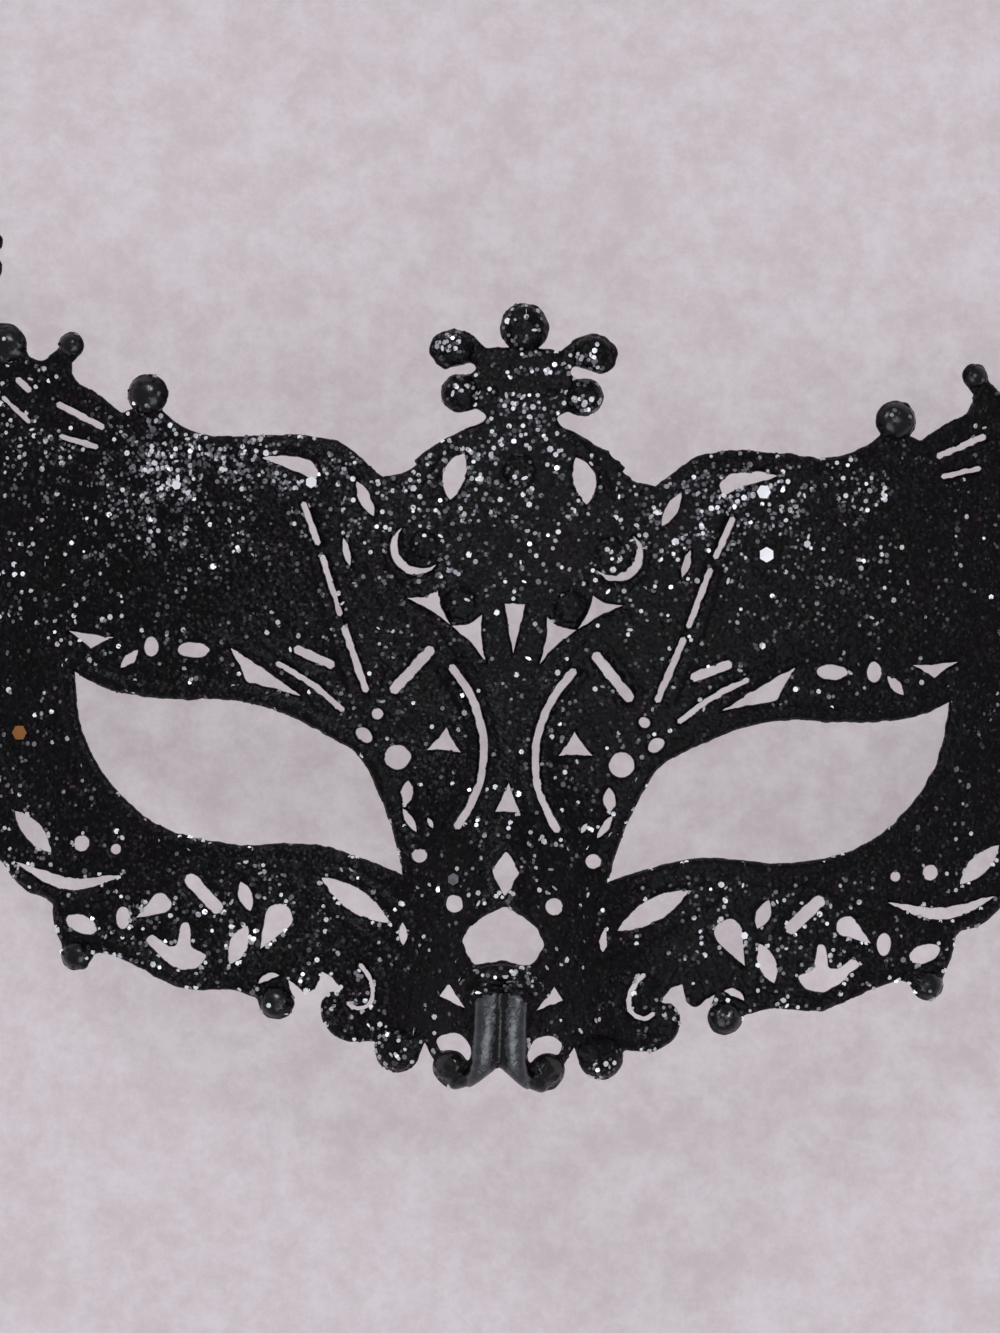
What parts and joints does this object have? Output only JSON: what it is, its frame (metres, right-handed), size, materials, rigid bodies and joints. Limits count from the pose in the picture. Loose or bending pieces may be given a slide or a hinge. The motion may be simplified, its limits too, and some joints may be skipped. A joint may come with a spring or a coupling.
{
  "type": "lace venetian mask",
  "caption": "Half mask of one bent sheet pierced with mirrored scrollwork, with a ball-tipped crown, almond eye openings and a nose with rounded ridges, covered in black and silver glitter.",
  "frame": {"origin": "middle of the bounding box, at the floor the mask lies on", "axes": "+X across the mask to the viewer's right, +Y up its face towards the crown, +Z out of its front"},
  "size_m": [0.1922, 0.1382, 0.0624],
  "materials": {
    "glitter_plastic": "gloss"
  },
  "bodies": {
    "root": {"mask": "glitter_plastic"}
  },
  "joints": []
}
